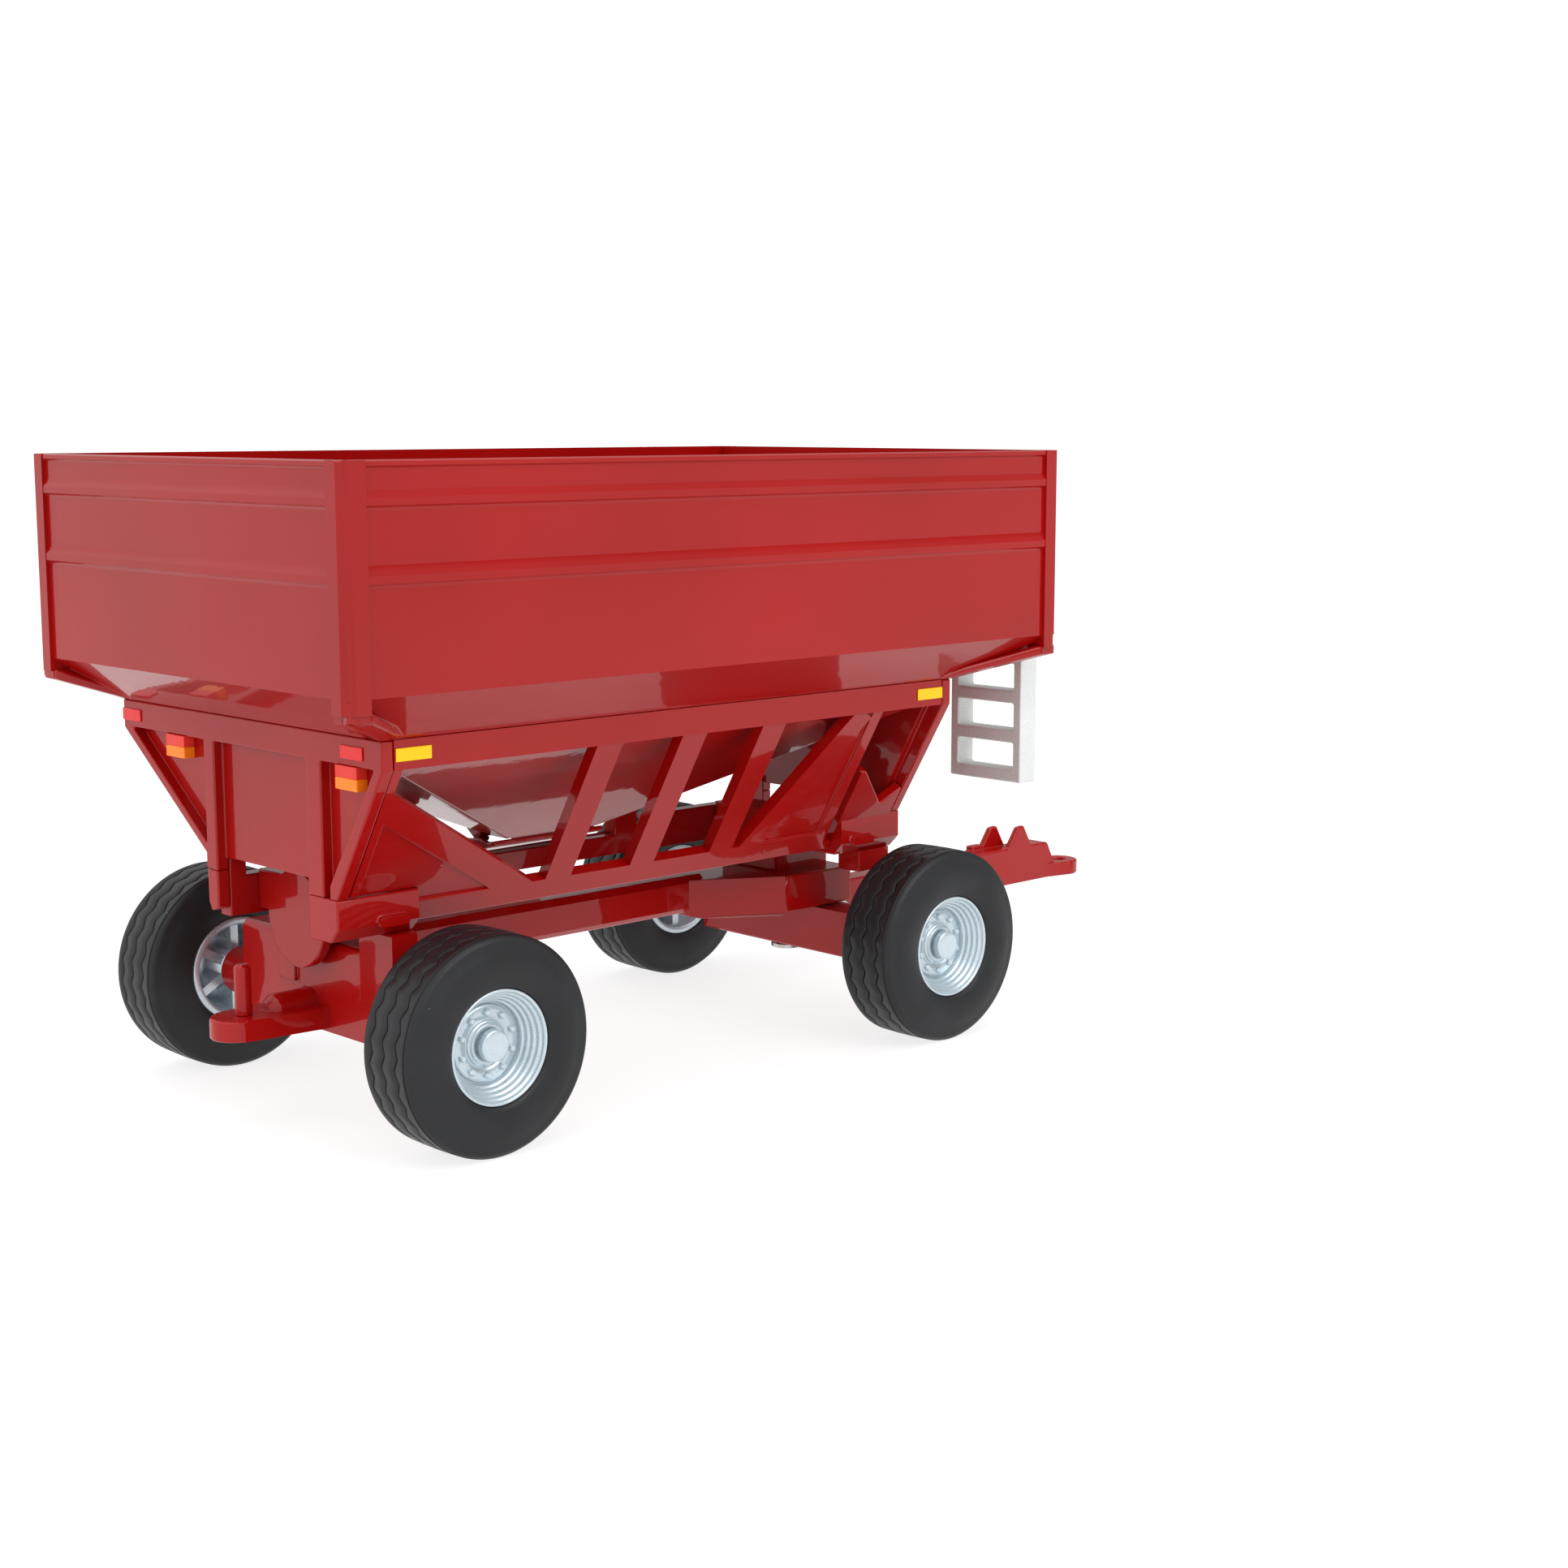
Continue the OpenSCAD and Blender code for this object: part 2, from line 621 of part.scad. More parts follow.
module rear_axle_beam() color(RED) difference() {
    half = axle_d / 2;
    union() {
        // deep middle, its upper edges cut back
        along(-axle_core, axle_core) polygon([[-half, core_z], [half, core_z], [half, core_top - 2],
            [half - 1.5, core_top], [-half + 0.6, core_top], [-half, core_top - 0.8]]);
        for (side = [-1, 1]) translate([0, side * (axle_core - EPS), axle_z]) rotate([-side * 90, 0, 0]) {
            cylinder(h = axle_end_y - axle_core, r = axle_end_r);
            cylinder(h = 4, r1 = half - 0.8, r2 = axle_end_r);
        }
        // perches under the bolster's ends
        for (y = [[-24.5, -15.5], [3.5, 8.5]])
            block([-6.6, y[0], core_top - 8], [-1.8, y[1], bolster_z]);
        // drawbar plate with a half-round rib
        hull() {
            translate([-19.8, 0, core_z + 0.7]) cylinder(h = 3.4, r = 4.2, $fn = 32);
            block([-half, -5.5, core_z + 0.7], [-half + 1, 5.5, core_z + 4.1]);
        }
        translate([-13, 0, core_z + 4]) rotate([0, 90, 0]) cylinder(h = 8, r = 2.6);
        translate([-14.6, 0, core_z + 4]) rotate([0, 90, 0]) cylinder(h = 1.6, r1 = 1.4, r2 = 2.6);
    }
    cross_pin(0, axle_z, -axle_end_y - 1, axle_end_y + 1, rod_r);
    translate([hitch_x, 0, core_z]) cylinder(h = 10, r = hitch_r - 0.25);
    screw_holes(rear_screw_places(), core_z - 1, bolster_z + 1);
    for (p = rear_screw_places()) translate([p[0], p[1], core_z - 2]) cylinder(h = 2.3, r = 1.8);
}

module rear_hitch_pin() color(RED) {
    translate([hitch_x, 0, core_z + 0.7]) cylinder(h = 3.5, r = hitch_r - 0.25);
    translate([hitch_x, 0, core_z + 4.1]) cylinder(h = hitch_h - 0.5, r = hitch_r);
    translate([hitch_x, 0, core_z + 3.6 + hitch_h]) cylinder(h = 0.5, r1 = hitch_r, r2 = hitch_r - 0.5);
}

// Screws that hold the axle castings up to the bolsters
function rear_screw_places() = [[-rod_r - 2.1, -17.6], [-rod_r - 2.1, 6]];
function yoke_screw_places() = [[wheelbase - 8.2, -4.5], [wheelbase - 8.2, 4.5]];

module screw_holes(places, z0, z1) {
    for (p = places) translate([p[0], p[1], z0]) cylinder(h = z1 - z0, r = 0.9);
}

module rear_axle_screws() color(SILVER) for (p = rear_screw_places()) translate([p[0], p[1], 0]) {
    translate([0, 0, core_z - 0.6]) cylinder(h = 0.9, r = 1.7);
    translate([0, 0, core_z + 0.2]) cylinder(h = bolster_z - core_z + screw_bite - 0.4, r = 0.8);
}

module yoke_screws() color(SILVER) for (p = yoke_screw_places()) translate([p[0], p[1], 0]) {
    translate([0, 0, yoke_z + 0.1]) cylinder(h = 0.9, r = 1.6);
    translate([0, 0, yoke_z + 1 - EPS]) cylinder(h = bolster_z - yoke_z - 1 + screw_bite - 0.2, r = 0.8);
}

module rear_axle_rod() color(SILVER) cross_pin(0, axle_z, -rod_end, rod_end, rod_r);

// Push-on clips that keep the wheels on their rods
module clips(x) for (side = [-1, 1])
    cross_pin(x, axle_z, min(side * clip_y, side * (clip_y + clip_t)),
        max(side * clip_y, side * (clip_y + clip_t)), 1.95);

module rear_axle_clips() color(SILVER) difference() {
    clips(0);
    cross_pin(0, axle_z, -rod_end, rod_end, rod_r);
}

module front_axle_clips() color(SILVER) difference() {
    clips(wheelbase);
    cross_pin(wheelbase, axle_z, -rod_end, rod_end, rod_r);
}

module reach_beam() color(RED) difference() {
    tail = wheelbase - 28.2;
    union() {
        chamfered_bar(axle_d / 2, tail + 4, reach_w, reach_z, reach_z + reach_h, 1.1);
        // yoke that spreads over the front axle, seen from above
        translate([0, 0, yoke_z]) linear_extrude(yoke_top - yoke_z)
            polygon([[tail, -reach_w / 2], [tail, reach_w / 2], [wheelbase - 12, yoke_w],
                [wheelbase + frame_front + 0.3, yoke_w], [wheelbase + frame_front + 0.3, -yoke_w],
                [wheelbase - 12, -yoke_w]]);
        translate([0, 0, yoke_z - 0.8]) linear_extrude(1)
            polygon([[tail + 3, -reach_w / 2], [tail + 3, reach_w / 2], [wheelbase - 12.2, yoke_w - 0.6],
                [wheelbase - 12.2, -yoke_w + 0.6]]);
    }
    translate([wheelbase, 0, yoke_z - 2]) cylinder(h = 12, r = kingpin_r);
    screw_holes(yoke_screw_places(), yoke_z - 2, yoke_top + 1);
    for (p = yoke_screw_places()) translate([p[0], p[1], yoke_z - 2]) cylinder(h = 3, r = 1.7);
}

// Block between the yoke and the front bolster
module yoke_block() color(RED) difference() {
    block([wheelbase - 10.4, -7.5, yoke_top], [wheelbase + 3, 7.5, bolster_z]);
    translate([wheelbase, 0, yoke_top - 1]) cylinder(h = 2.3, r = kingpin_r + 1.1);
    screw_holes(yoke_screw_places(), yoke_top - 1, bolster_z + 1);
}

module kingpin() color(SILVER) {
    translate([wheelbase, 0, beam_z - 1.3]) cylinder(h = yoke_top - beam_z + 1.3, r = kingpin_r);
    translate([wheelbase, 0, yoke_top - EPS]) cylinder(h = 1, r = kingpin_r + 0.9);
}

module kingpin_clip() color(SILVER) translate([wheelbase, 0, beam_z - 1.1]) difference() {
    cylinder(h = 0.8, r = kingpin_r + 1.2);
    translate([0, 0, -1]) cylinder(h = 3, r = kingpin_r);
}

module front_axle_beam() color(RED) difference() {
    x0 = wheelbase - 3.7;
    x1 = wheelbase + 3.7;
    ear_t = 2;
    ear_y = tongue_w / 2 + ear_gap;
    union() {
        along(-axle_core, axle_core) polygon([[x0, beam_z], [x1, beam_z], [x1, beam_top], [x0, beam_top]]);
        cross_pin(wheelbase, axle_z - 0.9, -axle_core - 3, axle_core + 3, 3.6);
        cross_pin(wheelbase, axle_z, -axle_end_y, axle_end_y, 3.1);
        for (side = [-1, 1]) {
            y0 = side < 0 ? -ear_y - ear_t : ear_y;
            cross_pin(hinge_x, hinge_z, y0, y0 + ear_t, 3.1);
            block([x1 - EPS, y0, hinge_z - 3.1], [hinge_x, y0 + ear_t, hinge_z + 3.1]);
        }
    }
    for (side = [-1, 1])
        cross_pin(wheelbase, axle_z, min(side * 5, side * 40), max(side * 5, side * 40), rod_r);
    translate([wheelbase, 0, beam_z - 1]) cylinder(h = 12, r = kingpin_r + run_gap);
    cross_pin(hinge_x, hinge_z, -10, 10, tongue_pin_r);
}

module front_axle_rods() color(SILVER) for (side = [-1, 1])
    cross_pin(wheelbase, axle_z, min(side * 5, side * rod_end), max(side * 5, side * rod_end), rod_r);

module tongue_pin() color(SILVER) {
    half = tongue_w / 2 + ear_gap + 2;
    cross_pin(hinge_x, hinge_z, -half - 0.5, half + 0.5, tongue_pin_r);
    cross_pin(hinge_x, hinge_z, -half - 1.2, -half, tongue_pin_r + 0.7);
}

module tongue() color(RED) difference() {
    y = tongue_w / 2;
    eye_x = wheelbase + tongue_reach;
    step_x = eye_x - eye_out - 3;
    top = tongue_z + tongue_h;
    union() {
        cross_pin(hinge_x, hinge_z, -y, y, 3.1);
        along(-y, y) polygon([[hinge_x, hinge_z - 3.1], [hinge_x + 3, tongue_z], [step_x, tongue_z],
            [step_x + 2.5, tongue_z], [step_x + 2.5, tongue_z + eye_t], [step_x, top],
            [hinge_x + 6, top], [hinge_x, hinge_z + 3.1]]);
        hull() {
            translate([eye_x, 0, tongue_z]) cylinder(h = eye_t, r = eye_out, $fn = 32);
            block([step_x, -y, tongue_z], [step_x + 1, y, tongue_z + eye_t]);
        }
        // two lugs and a small stop on top of the bar
        for (lug = [[0, y - 1.3], [4.5, -y]]) {
            x = step_x - 17 + lug[0];
            along(lug[1], lug[1] + 1.3) polygon([[x, top - EPS], [x + 3, top + 4.2], [x + 5, top + 4.4],
                [x + 7.6, top - EPS]]);
        }
        block([step_x - 20.5, y - 2, top - EPS], [step_x - 17, y, top + 1.1]);
    }
    translate([eye_x, 0, tongue_z - 1]) cylinder(h = eye_t + 2, r = eye_r);
    cross_pin(hinge_x, hinge_z, -10, 10, tongue_pin_r + run_gap);
}

// Wheels --------------------------------------------------------------------------

module tyre() {
    h = tyre_w / 2;
    rotate_extrude($fn = 96) polygon(concat(
        [[bead_r, -h + 0.75], [rim_r + 0.05, -h + 0.75], [rim_r + 0.15, -h + 0.1]],
        [[(rim_r + tyre_r) / 2 - 0.6, -h - 0.5], [tyre_r - 2.2, -h + 0.05], [tyre_r - 0.75, -h + 0.5],
         [tyre_r - 0.15, -h + 1.4], [tyre_r, -1.5]],
        [[tyre_r, 1.5], [tyre_r - 0.15, h - 1.4], [tyre_r - 0.75, h - 0.5], [tyre_r - 2.2, h - 0.05],
         [(rim_r + tyre_r) / 2 - 0.6, h + 0.5]],
        [[rim_r + 0.15, h - 0.1], [rim_r + 0.05, h - 0.75], [bead_r, h - 0.75]]));
}

module rim() {
    steps = 4;
    // stepped dish from the disc's edge up to the lip
    dish = [for (i = [0 : steps - 1], j = [0, 1])
        [disc_r + 0.3 + i * (rim_r - 0.4 - disc_r - 0.3) / steps,
         disc_z + (i + j) * (lip_z - disc_z) / steps]];
    inner = -lip_z;
    difference() {
        union() {
            rotate_extrude($fn = 96) polygon(concat([[0, disc_z], [disc_r + 0.3, disc_z]], dish,
                [[rim_r - 0.4, lip_z], [rim_r, lip_z], [rim_r, lip_z - 0.62], [bead_r, lip_z - 0.62],
                 [bead_r, inner + 0.62], [rim_r, inner + 0.62], [rim_r, inner], [bead_r - 0.6, inner],
                 [bead_r - 1.6, disc_z - disc_t], [0, disc_z - disc_t]]));
            cylinder(h = disc_z + 0.8, r = hub_r);
            translate([0, 0, inner + 0.3]) cylinder(h = disc_z - inner, r = 2.9);
            for (i = [0 : 5]) rotate([0, 0, i * 60]) translate([2, -0.8, inner + 1])
                cube([bead_r - 3, 1.6, disc_z - disc_t - inner - 1 + EPS]);
            for (i = [0 : 9]) rotate([0, 0, i * 36 + 18]) translate([4.75, 0, disc_z - EPS])
                cylinder(h = 0.55, r = 0.5, $fn = 6);
        }
        translate([0, 0, inner - 1]) cylinder(h = 30, r = rod_r + run_gap);
        translate([0, 0, disc_z]) cylinder(h = 5, r = 2.25);
    }
}

module hub_cap() difference() {
    union() {
        translate([0, 0, disc_z + 0.8]) cylinder(h = 1.5, r = cap_r);
        translate([0, 0, disc_z + 2.3 - EPS]) cylinder(h = 0.4, r1 = cap_r, r2 = cap_r - 0.5);
    }
    translate([0, 0, disc_z]) cylinder(h = 1.8, r = 2.1);
}

// Fittings ------------------------------------------------------------------------

module side_reflectors(side) color(AMBER) {
    z = rail_z + (rail_h - reflector_h) / 2;
    y = side * frame_y;
    for (x = [truss_x0 + 0.1, truss_x1 - 0.1 - reflector_l])
        block([x, min(y, y + side * 0.25), z], [x + reflector_l, max(y, y + side * 0.25), z + reflector_h]);
}

module rear_reflectors() color("#e0302c") for (y = [frame_y - 0.1 - reflector_l * 0.9, -frame_y + 4.8])
    block([frame_x0 - 0.25, y, rail_z + 1.1], [frame_x0, y + reflector_l * 0.9, rail_z + 1.1 + reflector_h]);

// One coloured half of a tail light; level is 0 for the lower half and 1 for the upper
module lamp_half(y, level) {
    z = rail_z - lamp_h + level * lamp_h / 2;
    inner = frame_x0 + end_recess - 0.3;
    block([frame_x0 - 0.2, y, z], [inner, y + lamp_w, z + lamp_h / 2]);
}

module ladder() color("#e0e4e2") {
    y0 = -37;
    z0 = rail_z - 17;
    rail = 2;
    bar = 2.4;
    rungs = floor((rim_z - 6 - z0) / rung_pitch);
    top = z0 + rungs * rung_pitch + bar;
    x0 = box_x1 + bead_out;
    for (y = [y0, y0 + ladder_w - rail]) block([x0, y, z0], [x0 + ladder_d, y + rail, top]);
    for (i = [0 : rungs]) block([x0, y0, z0 + i * rung_pitch],
        [x0 + ladder_d, y0 + ladder_w, z0 + i * rung_pitch + bar]);
}

// Moves a drawing made from the rear axle into the part's own frame
module placed() {
    translate([-origin_x, 0, 0]) children();
}

placed() hopper_box();
placed() hopper_funnel();
placed() end_frame_rear();
placed() end_frame_front();
placed() side_frame_right();
placed() side_frame_left();
placed() rear_bolster();
placed() front_bolster();
placed() rear_axle_beam();
placed() rear_hitch_pin();
placed() rear_axle_rod();
placed() rear_axle_clips();
placed() reach_beam();
placed() yoke_block();
placed() kingpin();
placed() kingpin_clip();
placed() front_axle_beam();
placed() front_axle_rods();
placed() front_axle_clips();
placed() tongue();
placed() tongue_pin();
placed() discharge_door();
placed() door_guides();
placed() discharge_chute();
placed() ladder();
placed() side_reflectors(-1);  // side_reflectors_right
placed() side_reflectors(1);  // side_reflectors_left
placed() rear_reflectors();
placed() color("#ea4a46") lamp_half(18.1, 1);  // stop_lens_left
placed() color("#ea4a46") lamp_half(-31.4, 1);  // stop_lens_right
placed() color("#ff7a20") lamp_half(18.1, 0);  // turn_lens_left
placed() color("#ff7a20") lamp_half(-31.4, 0);  // turn_lens_right
placed() rear_axle_screws();
placed() yoke_screws();
for (w = WHEELS) {
    placed() at_wheel(w) color(BLACK) tyre();
    placed() at_wheel(w) color(SILVER) rim();
    placed() at_wheel(w) color(SILVER) hub_cap();
}
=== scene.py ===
import json
import math

import bmesh
import bpy
from mathutils import Matrix, Vector


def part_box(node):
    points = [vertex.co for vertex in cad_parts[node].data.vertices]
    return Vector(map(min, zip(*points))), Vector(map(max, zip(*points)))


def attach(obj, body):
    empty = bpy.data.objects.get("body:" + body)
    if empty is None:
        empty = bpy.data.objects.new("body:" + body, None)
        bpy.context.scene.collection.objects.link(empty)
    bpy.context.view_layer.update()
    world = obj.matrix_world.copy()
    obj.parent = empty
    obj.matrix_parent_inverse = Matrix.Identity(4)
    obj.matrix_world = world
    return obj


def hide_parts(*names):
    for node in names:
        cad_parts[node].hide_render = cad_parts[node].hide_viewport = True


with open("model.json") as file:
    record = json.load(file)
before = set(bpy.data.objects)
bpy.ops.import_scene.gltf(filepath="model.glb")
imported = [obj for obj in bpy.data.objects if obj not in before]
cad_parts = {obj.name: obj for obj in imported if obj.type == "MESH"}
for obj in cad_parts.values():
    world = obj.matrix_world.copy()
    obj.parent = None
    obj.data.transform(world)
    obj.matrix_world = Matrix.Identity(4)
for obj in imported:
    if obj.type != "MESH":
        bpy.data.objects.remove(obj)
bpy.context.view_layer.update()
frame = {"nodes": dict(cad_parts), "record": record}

# ---------------------------------------------------------------------------
# Places and sizes, in metres. X is forward, Y is left, Z is up.
# ---------------------------------------------------------------------------
MM = 0.001
WHEELS = ("rear_right", "rear_left", "front_right", "front_left")


def middle(node):
    """The middle of a CAD node's box."""
    low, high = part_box(node)
    return (low + high) / 2


tyre_low, tyre_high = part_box("tyre_rear_right")
rim_low, rim_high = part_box("rim_rear_right")
tyre_r = (tyre_high.z - tyre_low.z) / 2
tyre_half = (tyre_high.y - tyre_low.y) / 2
rim_r = (rim_high.z - rim_low.z) / 2
rim_half = (rim_high.y - rim_low.y) / 2
rear_axle_x = middle("tyre_rear_right").x


# ---------------------------------------------------------------------------
# Materials
# ---------------------------------------------------------------------------
def linear(hex_colour):
    """An sRGB hex colour as linear RGBA."""
    parts = [int(hex_colour[i:i + 2], 16) / 255 for i in (1, 3, 5)]
    return [p / 12.92 if p <= 0.04045 else ((p + 0.055) / 1.055) ** 2.4 for p in parts] + [1.0]


def add(tree, kind, settings=None, **links):
    """Adds a node; settings are its attributes, links are values or sockets for its inputs.

    An input's name has _ for a space, and in_0, in_1 ... stand for inputs by number."""
    node = tree.nodes.new(kind)
    for name, value in (settings or {}).items():
        setattr(node, name, value)
    for name, value in links.items():
        key = int(name[3:]) if name[:3] == "in_" else name.replace("_", " ")
        socket = node.inputs[key]
        if isinstance(value, bpy.types.NodeSocket):
            tree.links.new(value, socket)
        else:
            socket.default_value = value
    return node


def start(name, colour, roughness, **shader):
    """A new material with its principled shader, and object coordinates in metres."""
    material = bpy.data.materials.new(name)
    material.use_nodes = True
    tree = material.node_tree
    tree.nodes.clear()
    surface = add(tree, "ShaderNodeBsdfPrincipled", Base_Color=linear(colour), Roughness=roughness,
                  **shader)
    output = add(tree, "ShaderNodeOutputMaterial")
    tree.links.new(surface.outputs["BSDF"], output.inputs["Surface"])
    place = add(tree, "ShaderNodeTexCoord").outputs["Object"]
    return material, tree, surface, place


def ramp(tree, factor, *stops):
    """A colour ramp through (position, hex colour or grey) stops."""
    node = add(tree, "ShaderNodeValToRGB", Fac=factor)
    band = node.color_ramp
    while len(band.elements) < len(stops):
        band.elements.new(0.5)
    for element, (position, colour) in zip(band.elements, stops):
        element.position = position
        element.color = linear(colour) if isinstance(colour, str) else (colour, colour, colour, 1)
    return node.outputs["Color"]


def noise(tree, place, size_mm, detail=2.0, roughness=0.5):
    """Noise whose features are about size_mm across."""
    return add(tree, "ShaderNodeTexNoise", Vector=place, Scale=1000 / size_mm, Detail=detail,
               Roughness=roughness).outputs["Fac"]


def bump(tree, surface, height, depth_mm, strength=1.0, under=None):
    """Bump depth_mm deep from a 0-1 height."""
    node = add(tree, "ShaderNodeBump", Strength=strength, Distance=depth_mm * MM, Height=height)
    if under:
        tree.links.new(under, node.inputs["Normal"])
    tree.links.new(node.outputs["Normal"], surface.inputs["Normal"])
    return node.outputs["Normal"]


def specks(tree, place, spacing_mm, share):
    """Small round specks: one cell in a few holds one, share of a cell wide."""
    cells = add(tree, "ShaderNodeTexVoronoi", {"feature": "F1"}, Vector=place, Scale=1000 / spacing_mm)
    near = add(tree, "ShaderNodeMath", {"operation": "LESS_THAN"}, in_0=cells.outputs["Distance"],
               in_1=share)
    apart = add(tree, "ShaderNodeSeparateColor", Color=cells.outputs["Color"])
    chosen = add(tree, "ShaderNodeMath", {"operation": "GREATER_THAN"}, in_0=apart.outputs["Red"],
                 in_1=0.86)
    both = add(tree, "ShaderNodeMath", {"operation": "MULTIPLY"}, in_0=near.outputs[0],
               in_1=chosen.outputs[0])
    return both.outputs[0]


def mix(tree, factor, a, b, blend="MIX"):
    """Mixes two colours, each a socket or an sRGB hex."""
    a = linear(a) if isinstance(a, str) else a
    b = linear(b) if isinstance(b, str) else b
    return add(tree, "ShaderNodeMix", {"data_type": "RGBA", "blend_type": blend}, in_0=factor, in_6=a,
               in_7=b).outputs[2]


def die_cast_enamel():
    """Baked gloss enamel sprayed on die-cast zinc: wet-looking red with a faint orange peel.

    Film thickness drifts over centimetres, and a few pale dust specks sit in the paint."""
    material, tree, surface, place = start("red_baked_enamel_on_zinc", "#980605", 0.4,
                                           Specular_IOR_Level=0.06, Coat_Weight=0.6,
                                           Coat_Roughness=0.03, Coat_IOR=1.5)
    drift = noise(tree, place, 42, 2)
    film = ramp(tree, drift, (0.3, "#920503"), (0.7, "#9F0806"))
    dust = specks(tree, place, 5.2, 0.018)
    tree.links.new(mix(tree, dust, film, "#E9C9BE"), surface.inputs["Base Color"])
    gloss = ramp(tree, noise(tree, place, 16, 3), (0.25, 0.34), (0.8, 0.46))
    tree.links.new(gloss, surface.inputs["Roughness"])
    peel = bump(tree, surface, noise(tree, place, 2.4, 1), 0.02, 0.5)
    dirt = bump(tree, surface, dust, 0.03, 0.6, peel)
    tree.links.new(dirt, surface.inputs["Coat Normal"])
    return material


def moulded_rubber():
    """Soft black PVC rubber from a steel mould: matt, with a waxy bloom where it is handled.

    Fine scuffs and mould grain show as slightly paler patches."""
    material, tree, surface, place = start("black_moulded_rubber", "#191A1C", 0.5,
                                           IOR=1.5, Specular_IOR_Level=0.35)
    bloom = ramp(tree, noise(tree, place, 9, 4, 0.6), (0.3, "#151618"), (0.75, "#1D1E21"))
    lint = specks(tree, place, 3.1, 0.03)
    tree.links.new(mix(tree, lint, bloom, "#8C8E90"), surface.inputs["Base Color"])
    handled = ramp(tree, noise(tree, place, 6, 3), (0.25, 0.42), (0.8, 0.56))
    tree.links.new(handled, surface.inputs["Roughness"])
    bump(tree, surface, noise(tree, place, 0.35, 3, 0.6), 0.012, 0.5)
    return material


def silver_moulded_plastic(name, colour, dark, metallic, roughness, grain_mm):
    """Silver pigmented ABS from an injection mould: fine aluminium flake under a satin skin."""
    material, tree, surface, place = start(name, colour, roughness, Metallic=metallic,
                                           Coat_Weight=0.25, Coat_Roughness=0.2)
    cells = add(tree, "ShaderNodeTexVoronoi", {"feature": "F1"}, Vector=place, Scale=1000 / grain_mm)
    flake = add(tree, "ShaderNodeSeparateColor", Color=cells.outputs["Color"]).outputs["Green"]
    shade = ramp(tree, flake, (0.0, dark), (1.0, colour))
    flow = ramp(tree, noise(tree, place, 9, 1), (0.3, 0.93), (0.75, 1.0))
    tree.links.new(mix(tree, 1.0, shade, flow, "MULTIPLY"), surface.inputs["Base Color"])
    skin = ramp(tree, noise(tree, place, 3.5, 2), (0.2, roughness - 0.03), (0.8, roughness + 0.05))
    tree.links.new(skin, surface.inputs["Roughness"])
    bump(tree, surface, noise(tree, place, 0.3, 1), 0.004, 0.2)
    return material


def nickel_plated_steel():
    """Turned steel rod and screws with bright nickel plating: fine turning marks across the rod."""
    material, tree, surface, place = start("nickel_plated_turned_steel", "#C9C6C0", 0.24, Metallic=1.0)
    stretched = add(tree, "ShaderNodeMapping", Vector=place, Scale=(1, 9, 1)).outputs[0]
    marks = noise(tree, stretched, 0.9, 3, 0.6)
    tree.links.new(ramp(tree, marks, (0.3, "#B4B1AB"), (0.7, "#D2CFC9")), surface.inputs["Base Color"])
    tree.links.new(ramp(tree, marks, (0.2, 0.18), (0.8, 0.34)), surface.inputs["Roughness"])
    bump(tree, surface, marks, 0.008, 0.4)
    return material


def pad_printed_paint(name, colour, deep):
    """Thick pad-printed gloss paint: dense colour that thins a little, over a fine screen of dots.

    The real screen is finer than a tenth of a millimetre, so it is drawn at 0.45 mm to show."""
    material, tree, surface, place = start(name, colour, 0.3, Specular_IOR_Level=0.15, Coat_Weight=0.2,
                                           Coat_Roughness=0.08)
    cells = add(tree, "ShaderNodeTexVoronoi", {"feature": "F1"}, Vector=place, Scale=1000 / 0.45,
                Randomness=0.12)
    dots = ramp(tree, cells.outputs["Distance"], (0.15, colour), (0.75, deep))
    pooled = noise(tree, place, 2.5, 2)
    tree.links.new(mix(tree, pooled, dots, colour), surface.inputs["Base Color"])
    bump(tree, surface, noise(tree, place, 0.8, 1), 0.015, 0.4)
    return material


enamel = die_cast_enamel()
rubber = moulded_rubber()
rim_silver = silver_moulded_plastic("silver_moulded_abs", "#D0DCE3", "#C0CDD4", 0.6, 0.28, 0.16)
ladder_silver = silver_moulded_plastic("bright_silver_moulded_abs", "#E9ECEA", "#D5D8D7", 0.25, 0.42, 0.12)
plated = nickel_plated_steel()
amber = pad_printed_paint("amber_pad_printed_paint", "#FFCA10", "#FFB806")
red_print = pad_printed_paint("red_pad_printed_paint", "#E8302C", "#C81E1C")
stop_paint = pad_printed_paint("stop_light_paint", "#E8392F", "#D22620")
turn_paint = pad_printed_paint("turn_light_paint", "#FF8A1C", "#F56F10")


# ---------------------------------------------------------------------------
# Shaping tools
# ---------------------------------------------------------------------------
def object_from(mesh, name, material):
    """An object at the origin that holds the mesh, with one material."""
    mesh.materials.clear()
    mesh.materials.append(material)
    piece = bpy.data.objects.new(name, mesh)
    bpy.context.scene.collection.objects.link(piece)
    return piece


def applied(piece):
    """Turns a piece with modifiers into a plain mesh."""
    depsgraph = bpy.context.evaluated_depsgraph_get()
    mesh = bpy.data.meshes.new_from_object(piece.evaluated_get(depsgraph))
    piece.modifiers.clear()
    old = piece.data
    piece.data = mesh
    bpy.data.meshes.remove(old)
    return piece


def room_beside(edge):
    """How far a bevel on this edge may reach: the shortest neighbour edge on its two faces."""
    faces = set(edge.link_faces)
    lengths = [other.calc_length() for vertex in edge.verts for other in vertex.link_edges
               if other is not edge and faces & set(other.link_faces)]
    return min(lengths) if lengths else 0.0


def open_angle(face, vertex):
    """A face's inner angle at one of its vertices."""
    return next(loop for loop in vertex.link_loops if loop.face == face).calc_angle()


